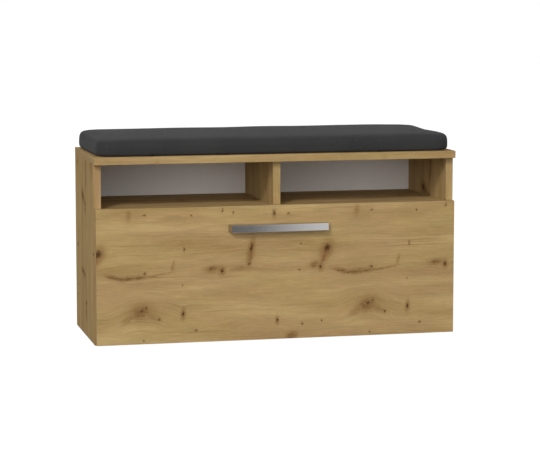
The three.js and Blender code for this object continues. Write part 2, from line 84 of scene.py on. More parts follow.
# Each lamp is a soft panel: where it stands, its width and height, and the level at which it
# renders a white card at the bench that faces it.
LAMPS = {
    "key": (KEY_PLACE, (3.4, 3.4), 0.42),
    "front_low": (Vector((-1.2, -6.0, 0.9)), (8.0, 1.6), 0.19),
    "left_low": (Vector((-5.0, -4.2, 0.9)), (6.0, 1.6), 0.12),
    "front_high": (Vector((-1.2, -6.0, 2.9)), (8.0, 2.2), 0.33),
    "rear_high": (Vector((1.8, 4.5, 4.0)), (4.0, 3.0), 0.35),
}
AMBIENT_LEVEL = 0.28
WHITE = (1, 1, 1, 1)

# The floor bounces little light, and the camera sees it as white with a faint shadow.
FLOOR_SIZE = 30
FLOOR_BOUNCE = 0.18
FLOOR_TINT = 0.15
FLOOR_GLOW = 0.95

# Two cards that only the metal reflects: one in front of the handle, and one above it that
# ends before its fade begins.
FLAG_LOW = (-0.55, FRONT - 0.663, 0.004)
FLAG_HIGH = (0.32, FRONT - 0.663, 0.52)
FLAG_LEVEL = 0.225
FLAG_FADE = (0.03, 0.29)
CANOPY_LOW = (-0.8, FRONT - 1.4, 0.75)
CANOPY_HIGH = (1.2, FRONT + 0.3, 0.75)
CANOPY_LEVEL = 0.12
CANOPY_FADE = (2.0, 3.0)


def make_camera():
    data = bpy.data.cameras.new("camera")
    data.sensor_width = SENSOR_WIDTH
    data.lens = CAMERA_LENS
    data.clip_start, data.clip_end = CAMERA_CLIP
    camera = bpy.data.objects.new("camera", data)
    camera.location = CAMERA_PLACE
    camera.rotation_euler = (math.pi / 2 - CAMERA_PITCH, 0, -CAMERA_YAW)
    bpy.context.scene.collection.objects.link(camera)
    bpy.context.scene.camera = camera


def add_lamp(name, place, size, level):
    """A panel that faces the bench, as strong as its level asks for at its distance."""
    target = Vector((0, 0, cad_high[Z] / 2))
    distance = (place - target).length
    data = bpy.data.lights.new(name, "AREA")
    data.shape = "RECTANGLE"
    data.size, data.size_y = size
    data.energy = level * math.pi**2 * distance**2
    lamp = bpy.data.objects.new(name, data)
    lamp.location = place
    lamp.rotation_euler = (target - place).to_track_quat("-Z", "Y").to_euler()
    lamp.visible_glossy = False
    bpy.context.scene.collection.objects.link(lamp)


# ---- Node graphs ----

def srgb(red, green, blue):
    """A display colour from 0 to 255 as the linear colour that a shader socket takes."""
    def linear(value):
        value /= 255
        return value / 12.92 if value <= 0.04045 else ((value + 0.055) / 1.055) ** 2.4
    return (linear(red), linear(green), linear(blue), 1.0)


class Graph:
    """Builds a node tree. An input is a constant or another node's output socket."""

    def __init__(self, tree):
        self.tree = tree
        tree.nodes.clear()

    def node(self, kind, values=(), **settings):
        made = self.tree.nodes.new(kind)
        for name, value in settings.items():
            setattr(made, name, value)
        for socket, value in dict(values).items():
            self.feed(made.inputs[socket], value)
        return made

    def feed(self, socket, value):
        if isinstance(value, bpy.types.NodeSocket):
            self.tree.links.new(value, socket)
        else:
            socket.default_value = value

    def math(self, operation, first, second=0.0, third=0.0):
        made = self.node("ShaderNodeMath", enumerate((first, second, third)), operation=operation)
        return made.outputs[0]

    def vector(self, operation, first, second=(0, 0, 0), third=(0, 0, 0)):
        values = {0: first, 1: second}
        if operation in ("WRAP", "MULTIPLY_ADD"):
            values[2] = third
        made = self.node("ShaderNodeVectorMath", values, operation=operation)
        return made.outputs["Value" if operation == "LENGTH" else "Vector"]

    def combine(self, x, y, z=0.0):
        return self.node("ShaderNodeCombineXYZ", {0: x, 1: y, 2: z}).outputs[0]

    def separate(self, vector):
        return self.node("ShaderNodeSeparateXYZ", {0: vector}).outputs

    def noise(self, place, detail=2.0, roughness=0.5, scale=1.0):
        values = {"Vector": place, "Scale": scale, "Detail": detail, "Roughness": roughness}
        return self.node("ShaderNodeTexNoise", values).outputs["Fac"]

    def stretch(self, value, low, high, start=0.0, end=1.0, smooth=True):
        """Maps low..high to start..end, held at both ends."""
        kind = "SMOOTHSTEP" if smooth else "LINEAR"
        values = {"Value": value, "From Min": low, "From Max": high, "To Min": start, "To Max": end}
        return self.node("ShaderNodeMapRange", values, interpolation_type=kind).outputs["Result"]

    def mix(self, share, first, second, kind="MIX"):
        made = self.node("ShaderNodeMix", data_type="RGBA", blend_type=kind)
        self.feed(made.inputs[0], share)
        self.feed(made.inputs[6], first)
        self.feed(made.inputs[7], second)
        return made.outputs[2]

    def choose(self, share, first, second):
        """Blends two vectors."""
        made = self.node("ShaderNodeMix", data_type="VECTOR")
        self.feed(made.inputs[0], share)
        self.feed(made.inputs[4], first)
        self.feed(made.inputs[5], second)
        return made.outputs[1]

    def bump(self, height, distance, strength=1.0):
        values = {"Height": height, "Distance": distance, "Strength": strength}
        return self.node("ShaderNodeBump", values).outputs[0]

    def coordinates(self):
        made = self.node("ShaderNodeTexCoord")
        return made.outputs["Object"], made.outputs["Normal"]


def surface(name):
    """A new material, its graph, and a function that gives it its finished shader."""
    material = bpy.data.materials.new(name)
    material.use_nodes = True
    graph = Graph(material.node_tree)

    def finish(color, roughness, normal=None, **constants):
        values = {"Base Color": color, "Roughness": roughness}
        if normal is not None:
            values["Normal"] = normal
        values |= {key.replace("_", " "): value for key, value in constants.items()}
        shader = graph.node("ShaderNodeBsdfPrincipled", values)
        graph.node("ShaderNodeOutputMaterial", {"Surface": shader.outputs[0]})
        return material

    return graph, finish


def group(name, inputs, outputs):
    """A shader node group with its graph, its inputs' sockets and its output node."""
    tree = bpy.data.node_groups.new(name, "ShaderNodeTree")
    for label, kind in inputs.items():
        tree.interface.new_socket(label, in_out="INPUT", socket_type=kind)
    for label, kind in outputs.items():
        tree.interface.new_socket(label, in_out="OUTPUT", socket_type=kind)
    graph = Graph(tree)
    return graph, graph.node("NodeGroupInput").outputs, graph.node("NodeGroupOutput").inputs


def backdrop_share(graph):
    """One for the rays that see the backdrop: from the camera, and in metal or glass."""
    path = graph.node("ShaderNodeLightPath").outputs
    seen = graph.math("MAXIMUM", path["Is Camera Ray"], path["Is Glossy Ray"])
    return graph.math("MAXIMUM", seen, path["Is Transmission Ray"])


def light_and_backdrop(graph, output, lighting, seen):
    """Ends a tree with one shader that lights the bench and another that is seen."""
    both = {0: backdrop_share(graph), 1: lighting.outputs[0], 2: seen.outputs[0]}
    mixed = graph.node("ShaderNodeMixShader", both)
    graph.node(output, {"Surface": mixed.outputs[0]})


def new_object(name, mesh):
    piece = bpy.data.objects.new(name, mesh)
    bpy.context.scene.collection.objects.link(piece)
    return piece


def new_sheet(name, corners):
    """A flat sheet with four corners, and the graph of its new material."""
    mesh = bpy.data.meshes.new(name)
    mesh.from_pydata(corners, [], [(0, 1, 2, 3)])
    material = bpy.data.materials.new(name)
    material.use_nodes = True
    mesh.materials.append(material)
    return new_object(name, mesh), Graph(material.node_tree)


def make_stage():
    world = bpy.data.worlds.new("studio")
    world.use_nodes = True
    bpy.context.scene.world = world
    graph = Graph(world.node_tree)
    ambient = graph.node("ShaderNodeBackground", {"Color": WHITE, "Strength": AMBIENT_LEVEL})
    shown = graph.node("ShaderNodeBackground", {"Color": WHITE, "Strength": 1.0})
    light_and_backdrop(graph, "ShaderNodeOutputWorld", ambient, shown)

    half = FLOOR_SIZE / 2
    corners = [(-half, -half, 0), (half, -half, 0), (half, half, 0), (-half, half, 0)]
    floor, graph = new_sheet("floor", corners)
    bounce = graph.node("ShaderNodeBsdfDiffuse", {"Color": (FLOOR_BOUNCE,) * 3 + (1,)})
    tint = graph.node("ShaderNodeBsdfDiffuse", {"Color": (FLOOR_TINT,) * 3 + (1,)})
    glow = graph.node("ShaderNodeEmission", {"Color": WHITE, "Strength": FLOOR_GLOW})
    pale = graph.node("ShaderNodeAddShader", {0: tint.outputs[0], 1: glow.outputs[0]})
    light_and_backdrop(graph, "ShaderNodeOutputMaterial", bounce, pale)


def make_card(name, low, high, fade, level):
    """A card that only the metal reflects: dark, and bright beyond the fade's second place."""
    (x0, y0, z0), (x1, y1, z1) = low, high
    flag, graph = new_sheet(name, [(x0, y0, z0), (x1, y0, z0), (x1, y1, z1), (x0, y1, z1)])
    position, _ = graph.coordinates()
    bright = graph.stretch(graph.separate(position)[X], *fade, level, 1.0, smooth=False)
    glow = graph.node("ShaderNodeEmission", {"Color": WHITE, "Strength": bright})
    graph.node("ShaderNodeOutputMaterial", {"Surface": glow.outputs[0]})
    flag.visible_camera = False
    flag.visible_diffuse = False
    flag.visible_shadow = False
    flag.visible_transmission = False


# ---- Oak decor: one printed sheet that every board is cut from ----

# Each mark is (along the grain, across it, long radius, short radius, turn in degrees), in mm.
SHEET_REPEAT = 503
SHEET_WIDTH = 330
KNOTS = [
    (109, 199, 11, 8.5, 60), (94, 158, 5, 4, 90), (-125, 155, 6, 4.5, 90),
    (292, 64.5, 8, 3.4, 86), (-10, 278, 6, 2.8, 90), (-3, 44, 6, 2.8, 90),
    (-60, 205, 13, 4, 78), (-65, 170, 4, 2.6, 60),
]
PIN_KNOTS = [
    (-294, 280, 3, 2.4, 0), (-192, 277, 2.2, 1.8, 0), (-124, 287, 4.6, 1.8, 75),
    (-100, 281, 4, 1.5, 90), (-208, 205, 5, 1.8, 90), (-263, 54, 3.2, 2.8, 90),
    (-183, 28, 3, 2.6, 0), (-212, 126, 2, 1.6, 0), (22, 276, 2.6, 2.2, 0),
    (50, 210, 2.2, 2, 0), (46, 153, 2.6, 2.3, 0), (53, 34, 3.2, 2.4, 120),
    (97, 39, 2.2, 2, 0), (-294, 155, 3.2, 2.6, 0), (-149, 160, 3, 2.2, 0),
    (-297, 10, 2.2, 1.8, 0), (-301, 74, 4.4, 2.8, 50), (-291, 80, 2.4, 2, 0),
]
CRACKS = [
    (-364, 147, 15, 1.4, -14), (-333, 144, 17, 3.6, 4), (-305, 146.4, 13, 2.4, 5),
    (-280, 148, 11, 1.1, 4),
]
RED_STREAKS = [(101, 178, 15, 4.4, 66), (-62, 187, 18, 4.2, 80)]
SMUDGES = [
    (-328, 280, 15, 7, 84), (-146, 160, 24, 9, 5), (-302, 73, 30, 22, 20),
    (-281, 63, 26, 9, -28), (28, 9, 18, 11, 15), (-233, 168, 15, 4.5, 78),
    (104, 186, 28, 12, 66), (-322, 146, 44, 8, 3), (-366, 150, 24, 6, -13),
    (-63, 190, 30, 10, 80), (80, 163, 15, 10, 20), (-256, 152, 30, 3, 9),
    (-88, 160, 26, 6, 8), (-328, 58, 20, 9, 30),
]
BLOTCHES = [
    (-304, 71, 19, 13, 25), (-310, 67, 10, 6, 20), (-292, 79, 7, 5, 60),
    (29, 8, 14, 8, 15), (-147, 161, 12, 5, 10), (-358, 147, 18, 4, -14),
    (80, 163, 9, 6, 20),
]
# Broad stretches where the print is deeper, and where it is paler.
DEEP_PATCHES = [
    (-298, 66, 66, 34, 0), (-140, 160, 72, 22, 0), (-62, 192, 42, 28, 75), (104, 186, 46, 28, 66),
    (-330, 150, 92, 15, 0), (-320, 274, 50, 22, 0), (24, 14, 62, 18, 0), (-190, 226, 120, 14, 0),
    (-224, 270, 84, 16, 0), (332, 209, 80, 9, 0),
]
PALE_PATCHES = [(-70, 72, 150, 26, 0), (-190, 118, 110, 12, 0), (-330, 34, 60, 12, 0)]
# Over each of these stretches the grain rises or falls to a peak. The last number says by
# how much.
BENDS = [
    (-301, 80, 82, 58, 0, 26), (-62, 192, 60, 34, 15, 6), (104, 180, 70, 36, -12, -7),
    (-10, 22, 84, 26, 0, 6),
]
# Over each of these stretches the grain parts like an eye. The last number is the share.
EYES = [(-124, 157, 72, 24, 0, 0.6), (-82, 33, 46, 15, 0, 0.7), (101, 182, 44, 26, 66, 0.5)]
# How far the grain sways all over the sheet, how far it parts round a knot, how far a mark's
# outline frays, and where across the sheet the edges of the boards are cut from.
SWAY = 12 * MM
SWIRL = 2.5 * MM
FRAY = 9 * MM
QUIET_STRIP = 224 * MM

OAK_LIGHT = srgb(200, 175, 128)
OAK_PALE = srgb(185, 159, 111)
OAK_MIDDLE = srgb(171, 144, 98)
OAK_DEEP = srgb(156, 128, 84)
OAK_RUDDY = srgb(167, 136, 96)
OAK_OLIVE = srgb(167, 143, 94)
OAK_LINE = srgb(132, 102, 62)
KNOT_DARK = srgb(70, 44, 26)
KNOT_HALO = srgb(134, 102, 62)
KNOT_BROWN = srgb(112, 80, 48)
CRACK_BROWN = srgb(98, 70, 40)
STREAK_RED = srgb(118, 76, 56)
# Each kind of stain: its marks, how far out it starts and is full, its strength and colour.
STAINS = [
    (SMUDGES, (1.4, 0.2), 0.92, KNOT_HALO),
    (BLOTCHES, (1.4, 0.3), 0.85, KNOT_BROWN),
    (CRACKS, (1.6, 0.3), 0.92, CRACK_BROWN),
    (RED_STREAKS, (1.3, 0.3), 1.0, STREAK_RED),
]

# What a board's colour is multiplied by on its front edge, and on its outer face. The outer face's
# warmer, deeper tint is painted shade.
EDGE_SHADE = (0.97, 0.97, 0.97, 1.0)
EDGE_SHADES = {"side_panel_left": (0.9, 0.84, 0.87, 1.0), "niche_partition": WHITE}
OUTER_PAINTED_SHADES = {"side_panel_left": (0.98, 0.965, 0.88, 1.0)}
# How strongly the knots and stains print, on the boards that are cut from a calmer stretch.
MARK_SHARES = {"niche_shelf": 0.2, "niche_partition": 0.4}
# All boards are thinner than this.
THICKEST_BOARD = 30 * MM
# A face looks along an axis if its normal has more than this of it.
FACING = 0.6


def nearest_mark(graph, place, marks):
    """Distance to the closest of the marks, where 1 is a mark's own outline."""
    half = Vector((SHEET_REPEAT, SHEET_WIDTH, 2)) * MM / 2
    closest = None
    for along, across, long, short, turn in marks:
        offset = graph.vector("SUBTRACT", place, (along * MM, across * MM, 0))
        offset = graph.vector("WRAP", offset, half, -half)
        angles = {"Vector": offset, "Angle": -math.radians(turn)}
        turned = graph.node("ShaderNodeVectorRotate", angles)
        turned.rotation_type = "Z_AXIS"
        scaled = graph.vector("MULTIPLY", turned.outputs[0], (1 / (long * MM), 1 / (short * MM), 0))
        reach = graph.vector("LENGTH", scaled)
        closest = reach if closest is None else graph.math("MINIMUM", closest, reach)
    return closest


def make_decor():
    """The sheet: from a place in metres (along, across) to its colour and relief."""
    graph, inputs, outputs = group(
        "oak_decor",
        {"Place": "NodeSocketVector", "Marks": "NodeSocketFloat"},
        {"Color": "NodeSocketColor", "Height": "NodeSocketFloat"},
    )
    place = inputs["Place"]
    along, across, _ = graph.separate(place)

    def streak(along_scale, across_scale, crosswise, **settings):
        """Noise that is drawn out along the grain."""
        scaled = graph.combine(
            graph.math("MULTIPLY", along, along_scale),
            graph.math("MULTIPLY", crosswise, across_scale),
        )
        return graph.noise(scaled, **settings)

    def within(mark, peak):
        """Rises evenly from nothing at a mark's outline to the peak at its centre."""
        reach = nearest_mark(graph, place, [mark])
        return graph.stretch(reach, 1.0, 0.0, 0.0, peak, smooth=False)

    ripple = graph.node("ShaderNodeTexNoise", {"Vector": place, "Scale": 330.0, "Detail": 3.0})
    centred = graph.vector("SUBTRACT", ripple.outputs["Color"], (0.5, 0.5, 0.5))
    ragged = graph.vector("MULTIPLY_ADD", centred, (FRAY, FRAY, 0), place)
    knots = nearest_mark(graph, ragged, KNOTS)

    shifted = graph.math("MULTIPLY_ADD", streak(4.5, 11, across, detail=2), SWAY, across)
    for *mark, rise in BENDS:
        shifted = graph.math("SUBTRACT", shifted, within(mark, rise * MM))
    for *mark, share in EYES:
        parted = graph.math("SUBTRACT", mark[1] * MM, across)
        spread = graph.math("MULTIPLY", parted, within(mark, share))
        shifted = graph.math("ADD", shifted, spread)
    shifted = graph.math("ADD", shifted, graph.stretch(knots, 5.0, 0.8, 0.0, SWIRL))

    broad = streak(2.2, 26, shifted, detail=3)
    tone = graph.mix(graph.stretch(broad, 0.34, 0.52), OAK_DEEP, OAK_MIDDLE)
    tone = graph.mix(graph.stretch(broad, 0.50, 0.68), tone, OAK_PALE)
    drift = streak(3.4, 13, across, detail=2)
    tone = graph.mix(graph.stretch(drift, 0.56, 0.42, 0.0, 0.45), tone, OAK_RUDDY)
    tone = graph.mix(graph.stretch(drift, 0.5, 0.64, 0.0, 0.5), tone, OAK_OLIVE)

    def shade(tone, value, low, high):
        """Multiplies a tone by low to high, as the noise goes."""
        share = graph.stretch(value, 0.3, 0.7, low, high, smooth=False)
        return graph.mix(1.0, tone, graph.combine(share, share, share), kind="MULTIPLY")

    for patches, color in ((DEEP_PATCHES, OAK_DEEP), (PALE_PATCHES, OAK_PALE)):
        reach = nearest_mark(graph, place, patches)
        tone = graph.mix(graph.stretch(reach, 1.2, 0.1, 0.0, 0.6), tone, color)
    tone = shade(tone, streak(9, 60, shifted, detail=3, roughness=0.62), 0.93, 1.07)
    calmness = streak(5, 18, shifted, detail=2)
    lines = streak(2.4, 210, shifted, detail=4, roughness=0.6)
    line_strength = graph.stretch(calmness, 0.38, 0.62, 0.2, 0.72)
    line_share = graph.math("MULTIPLY", line_strength, graph.stretch(lines, 0.54, 0.74))
    tone = graph.mix(line_share, tone, OAK_LINE)
    tone = shade(tone, streak(24, 330, shifted, detail=2), 0.93, 1.07)
    fibres = streak(16, 620, shifted, detail=3, roughness=0.7)
    tone = shade(tone, fibres, 0.92, 1.09)
    flecks = streak(60, 460, shifted, detail=1)
    tone = graph.mix(graph.stretch(flecks, 0.6, 0.76, 0.0, 0.3), tone, OAK_LIGHT)

    pores = streak(60, 2600, shifted, detail=1)
    pore_share = graph.stretch(pores, 0.60, 0.72, 0.0, 0.35)
    tone = graph.mix(pore_share, tone, OAK_LINE)

    mottle = graph.noise(place, scale=360, detail=2)
    torn_lines = streak(90, 620, shifted, detail=3, roughness=0.65)
    patchy = graph.math(
        "MULTIPLY",
        graph.stretch(mottle, 0.36, 0.62, 0.5, 1.0),
        graph.stretch(torn_lines, 0.36, 0.6, 0.55, 1.0),
    )

    def marked(distance, *reach):
        """The share of a mark, from its distance, as strong as this board prints its marks."""
        return graph.math("MULTIPLY", graph.stretch(distance, *reach), inputs["Marks"])

    for marks, reach, strength, color in STAINS:
        distance = nearest_mark(graph, ragged, marks)
        stain_share = graph.math("MULTIPLY", patchy, marked(distance, *reach, 0.0, strength))
        tone = graph.mix(stain_share, tone, color)
    pins = nearest_mark(graph, ragged, PIN_KNOTS)
    tone = graph.mix(marked(pins, 2.4, 0.6, 0.0, 0.3), tone, KNOT_HALO)
    tone = graph.mix(marked(pins, 1.3, 0.4, 0.0, 0.7), tone, KNOT_DARK)
    tone = graph.mix(marked(knots, 2.8, 0.8, 0.0, 0.6), tone, KNOT_HALO)
    torn = graph.math("ADD", knots, graph.stretch(mottle, 0.3, 0.7, 0.5, -0.3, smooth=False))
    knot_share = marked(torn, 1.2, 0.4, 0.0, 0.9)
    tone = graph.mix(knot_share, tone, KNOT_DARK)

    dents = graph.math("MAXIMUM", pore_share, graph.math("MULTIPLY", knot_share, 0.6))
    height = graph.math("SUBTRACT", graph.math("MULTIPLY", fibres, 0.5), dents)
    graph.feed(outputs["Color"], tone)
    graph.feed(outputs["Height"], height)
    return graph.tree


def face_choice(graph, normal, choices):
    """Picks one of three vectors by the axis that a face looks along."""
    facing = graph.separate(graph.vector("ABSOLUTE", normal))
    chosen = choices[X]
    for axis in (Y, Z):
        looks_along = graph.math("GREATER_THAN", facing[axis], FACING)
        chosen = graph.choose(looks_along, chosen, choices[axis])
    return chosen


def sheet_place(graph, low, high, grain, shift):
    """The place on the decor sheet of every face of a board, with its grain along one axis."""
    position, normal = graph.coordinates()
    parts = graph.separate(position)
    size = high - low
    choices = []
    for face in (X, Y, Z):
        others = [axis for axis in (X, Y, Z) if axis != face]
        along = grain if grain in others else max(others, key=lambda axis: size[axis])
        across = next(axis for axis in others if axis != along)
        is_edge = size[across] < THICKEST_BOARD
        across_shift = QUIET_STRIP - low[across] if is_edge else shift[1]
        choices.append(graph.combine(
            graph.math("ADD", parts[along], shift[0]),
            graph.math("ADD", parts[across], across_shift),
        ))
    return face_choice(graph, normal, choices), position, normal


def chipboard(graph, position):
    """The raw core of a board: pressed chips in two browns."""
    chips = graph.node("ShaderNodeTexVoronoi", {"Vector": position, "Scale": 420.0})
    shade = graph.separate(chips.outputs["Color"])[0]
    return graph.mix(shade, srgb(150, 118, 78), srgb(196, 168, 126))


def oak_board(node, decor, grain, shift=(0.0, 0.0), raw_rear=True):
    """Laminate on both faces and on the edges that show; the rear edge is raw chipboard."""
    low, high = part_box(node)
    graph, finish = surface("oak_" + node)
    place, position, normal = sheet_place(graph, low, high, grain, shift)
    sheet = graph.node("ShaderNodeGroup", node_tree=decor)
    graph.feed(sheet.inputs["Place"], place)
    graph.feed(sheet.inputs["Marks"], MARK_SHARES.get(node, 1.0))
    color = sheet.outputs["Color"]
    if (high - low)[Y] > THICKEST_BOARD:
        strip = graph.math("LESS_THAN", graph.separate(normal)[Y], -FACING)
        color = graph.mix(strip, color, EDGE_SHADES.get(node, EDGE_SHADE), kind="MULTIPLY")
    # Painted shade: the outer face is tinted warmer and deeper, as a face in shade looks.
    if node in OUTER_PAINTED_SHADES:
        painted_shade_face = graph.math("LESS_THAN", graph.separate(normal)[X], -FACING)
        color = graph.mix(painted_shade_face, color, OUTER_PAINTED_SHADES[node], kind="MULTIPLY")
    if raw_rear:
        rear = graph.math("GREATER_THAN", graph.separate(normal)[Y], FACING)
        color = graph.mix(rear, color, chipboard(graph, position))
    roughness = graph.stretch(sheet.outputs["Height"], -1.0, 0.6, 0.78, 0.6, smooth=False)
    relief = graph.bump(sheet.outputs["Height"], 0.08 * MM, 0.6)
    return finish(color, roughness, relief, Specular_IOR_Level=0.02)


def white_laminate():
    """The drawer's boards: off-white, with a faint orange peel."""
    graph, finish = surface("white_laminate")
    position, _ = graph.coordinates()
    peel = graph.noise(position, scale=900, detail=2)
    cloud = graph.noise(position, scale=14, detail=3)
    color = graph.mix(cloud, srgb(214, 214, 210), srgb(222, 222, 219))
    roughness = graph.stretch(peel, 0.3, 0.7, 0.42, 0.52)
    return finish(color, roughness, graph.bump(peel, 0.03 * MM, 0.5))


def fibreboard():
    """Thin hardboard: painted white on its front and upper face, brown fibre elsewhere."""
    graph, finish = surface("hardboard")
    position, normal = graph.coordinates()
    facing = graph.separate(normal)
    painted = graph.math(
        "MAXIMUM",
        graph.math("LESS_THAN", facing[Y], -FACING),
        graph.math("GREATER_THAN", facing[Z], FACING),
    )
    fibre = graph.noise(position, scale=1100, detail=4, roughness=0.7)
    mottle = graph.noise(position, scale=60, detail=3)
    brown = graph.mix(fibre, srgb(104, 78, 52), srgb(150, 118, 84))
    brown = graph.mix(graph.stretch(mottle, 0.3, 0.7, 0.0, 0.4), brown, srgb(122, 92, 62))
    white = graph.mix(mottle, srgb(222, 217, 212), srgb(228, 223, 218))
    color = graph.mix(painted, brown, white)
    return finish(color, graph.stretch(painted, 0, 1, 0.8, 0.45), graph.bump(fibre, 0.05 * MM, 0.6))


# ---- Metals and small materials ----

def plated_steel(name, color, roughness):
    """Zinc-plated sheet: faint rolling lines along the slide and soft blotches."""
    graph, finish = surface(name)
    position, _ = graph.coordinates()
    rolled = graph.vector("MULTIPLY", position, (900, 30, 900))
    lines = graph.noise(rolled, detail=3, roughness=0.6)
    blotch = graph.noise(position, scale=70, detail=3)
    dull = tuple(c * 0.86 for c in color[:3]) + (1,)
    shade = graph.mix(graph.stretch(blotch, 0.35, 0.65), color, dull)
    rough = graph.stretch(lines, 0.3, 0.7, roughness - 0.06, roughness + 0.1)
    return finish(shade, rough, graph.bump(lines, 0.02 * MM, 0.5), Metallic=1.0)


def satin_metal():
    """Brushed nickel of the handle: fine lines along the bow."""
    graph, finish = surface("satin_nickel")
    position, _ = graph.coordinates()
    brushed = graph.vector("MULTIPLY", position, (22, 1500, 2600))
    lines = graph.noise(brushed, detail=3, roughness=0.65)
    color = graph.mix(lines, srgb(175, 173, 173), srgb(190, 187, 184))
    rough = graph.stretch(lines, 0.3, 0.7, 0.16, 0.24)
    return finish(color, rough, graph.bump(lines, 0.01 * MM, 0.5), Metallic=1.0)


def cast_zinc():
    graph, finish = surface("cast_zinc")
    position, _ = graph.coordinates()
    grain = graph.noise(position, scale=1400, detail=3)
    color = graph.mix(grain, srgb(168, 170, 172), srgb(186, 188, 190))
    rough = graph.stretch(grain, 0.3, 0.7, 0.38, 0.55)
    return finish(color, rough, graph.bump(grain, 0.04 * MM), Metallic=1.0)


def beech():
    graph, finish = surface("beech")
    position, _ = graph.coordinates()
    fibre = graph.noise(graph.vector("MULTIPLY", position, (900, 900, 60)), detail=3)
    color = graph.mix(fibre, srgb(196, 160, 114), srgb(214, 184, 142))
    return finish(color, 0.65, graph.bump(fibre, 0.05 * MM))


def tape():
    """Hook-and-loop tape: a bristly black pile."""
    graph, finish = surface("tape")
    position, _ = graph.coordinates()
    tufts = graph.node("ShaderNodeTexVoronoi", {"Vector": position, "Scale": 900.0})
    pile = tufts.outputs["Distance"]
    color = graph.mix(pile, srgb(40, 40, 42), srgb(22, 22, 24))
    return finish(color, 0.9, graph.bump(pile, 0.3 * MM))


def clear_rubber():
    graph, finish = surface("clear_rubber")
    position, _ = graph.coordinates()
    cloud = graph.noise(position, scale=500, detail=2)
    color = graph.mix(cloud, srgb(206, 209, 210), srgb(220, 222, 223))
    rough = graph.stretch(cloud, 0.3, 0.7, 0.22, 0.34)
    return finish(color, rough, Transmission_Weight=0.6, IOR=1.45)


# The threads' spacing, and by how many radians of their waves the yarn wanders.
THREAD_PITCH = 1.7 * MM
THREAD_WANDER = 1.6
YARN_DARK = srgb(49, 49, 49)
YARN_PALE = srgb(63, 63, 63)
YARN_GAP = srgb(38, 38, 38)
YARN_WORN = srgb(64, 64, 63)


def fabric():
    """Dense anthracite upholstery: a plain weave with slightly mottled yarn."""
    graph, finish = surface("anthracite_weave")
    position, normal = graph.coordinates()
    parts = graph.separate(position)
    flat = [graph.combine(parts[one], parts[other]) for one, other in ((Y, Z), (X, Z), (X, Y))]
    warp, weft, _ = graph.separate(face_choice(graph, normal, flat))
    wobble = graph.noise(position, scale=180, detail=2)
    turns = 2 * math.pi / THREAD_PITCH

    def thread(value, phase):
        straight = graph.math("MULTIPLY_ADD", value, turns, phase)
        return graph.math("SINE", graph.math("MULTIPLY_ADD", wobble, THREAD_WANDER, straight))

    over = graph.math("MULTIPLY", thread(warp, 0.0), thread(weft, 0.0))
    under = graph.math("MULTIPLY", thread(warp, math.pi / 2), thread(weft, math.pi / 2))
    weave = graph.math("ADD", graph.math("ABSOLUTE", over), graph.math("MULTIPLY", under, 0.35))
    yarn = graph.noise(position, scale=520, detail=3, roughness=0.7)
    patch = graph.noise(position, scale=9, detail=3)
    color = graph.mix(graph.stretch(yarn, 0.3, 0.7), YARN_DARK, YARN_PALE)
    color = graph.mix(graph.stretch(weave, 0.1, 1.0, 0.25, 0.0), color, YARN_GAP)
    color = graph.mix(graph.stretch(patch, 0.35, 0.65, 0.0, 0.25), color, YARN_WORN)
    relief = graph.math("MULTIPLY_ADD", yarn, 0.4, weave)
    return finish(
        color, 0.95, graph.bump(relief, 0.18 * MM, 0.7),
        Sheen_Weight=0.078, Sheen_Roughness=0.46, Specular_IOR_Level=0.03,
    )


# ---- Finish of the CAD nodes ----

SMOOTH_ANGLE = math.radians(32)
BEVEL_ANGLE = math.radians(40)
WELD_REACH = 0.005 * MM
# How far the edges of each material are rounded.
OAK_EDGE = 0.35 * MM
LAMINATE_EDGE = 0.3 * MM
THIN_EDGE = 0.1 * MM
HANDLE_EDGE = 0.3 * MM


def smoothing():
    """Geometry nodes that shade a faceted piece smooth except at its real edges."""
    tree = bpy.data.node_groups.new("smooth_by_angle", "GeometryNodeTree")
    tree.interface.new_socket("Geometry", in_out="INPUT", socket_type="NodeSocketGeometry")
    tree.interface.new_socket("Geometry", in_out="OUTPUT", socket_type="NodeSocketGeometry")
    graph = Graph(tree)
    start = graph.node("NodeGroupInput").outputs[0]
    smooth = graph.node("GeometryNodeSetShadeSmooth", {
        "Geometry": start, "Shade Smooth": True,
    }, domain="FACE")
    angle = graph.node("GeometryNodeInputMeshEdgeAngle").outputs["Unsigned Angle"]
    sharp = graph.math("GREATER_THAN", angle, SMOOTH_ANGLE)
    edged = graph.node("GeometryNodeSetShadeSmooth", {
        "Geometry": smooth.outputs[0], "Selection": sharp, "Shade Smooth": False,
    }, domain="EDGE")
    graph.node("NodeGroupOutput", {0: edged.outputs[0]})
    return tree


def soften(piece, smooth_tree, width, segments=2):
    """Welds the facets of a CAD node, rounds its edges a little and shades it by angle."""
    if "custom_normal" in piece.data.attributes:
        piece.data.attributes.remove(piece.data.attributes["custom_normal"])
    weld = piece.modifiers.new("weld", "WELD")
    weld.merge_threshold = WELD_REACH
    if width:
        bevel = piece.modifiers.new("edges", "BEVEL")
        bevel.width = width
        bevel.segments = segments
        bevel.limit_method = "ANGLE"
        bevel.angle_limit = BEVEL_ANGLE
        bevel.use_clamp_overlap = True
    smooth = piece.modifiers.new("smooth", "NODES")
    smooth.node_group = smooth_tree
    if width:
        flat = piece.modifiers.new("flat_faces", "WEIGHTED_NORMAL")
        flat.keep_sharp = True


def dress(piece, material):
    piece.data.materials.clear()
    piece.data.materials.append(material)


# Each board: the axis of its grain, where on the sheet it is cut, and if its rear is raw.
SIDE_SHIFT = (-0.199, 0.016 - FRONT)
OAK_BOARDS = {
    "drawer_front": (X, (0.0, 0.0), False),
    "side_panel_left": (Z, SIDE_SHIFT, True),
    "side_panel_right": (Z, SIDE_SHIFT, True),
    "top_board": (X, (0.21, 0.30), True),
    "niche_shelf": (X, (0.12, 0.17), True),
    "bottom_board": (X, (0.33, 0.24), True),
    "niche_partition": (Z, (0.03, 0.21), True),
}


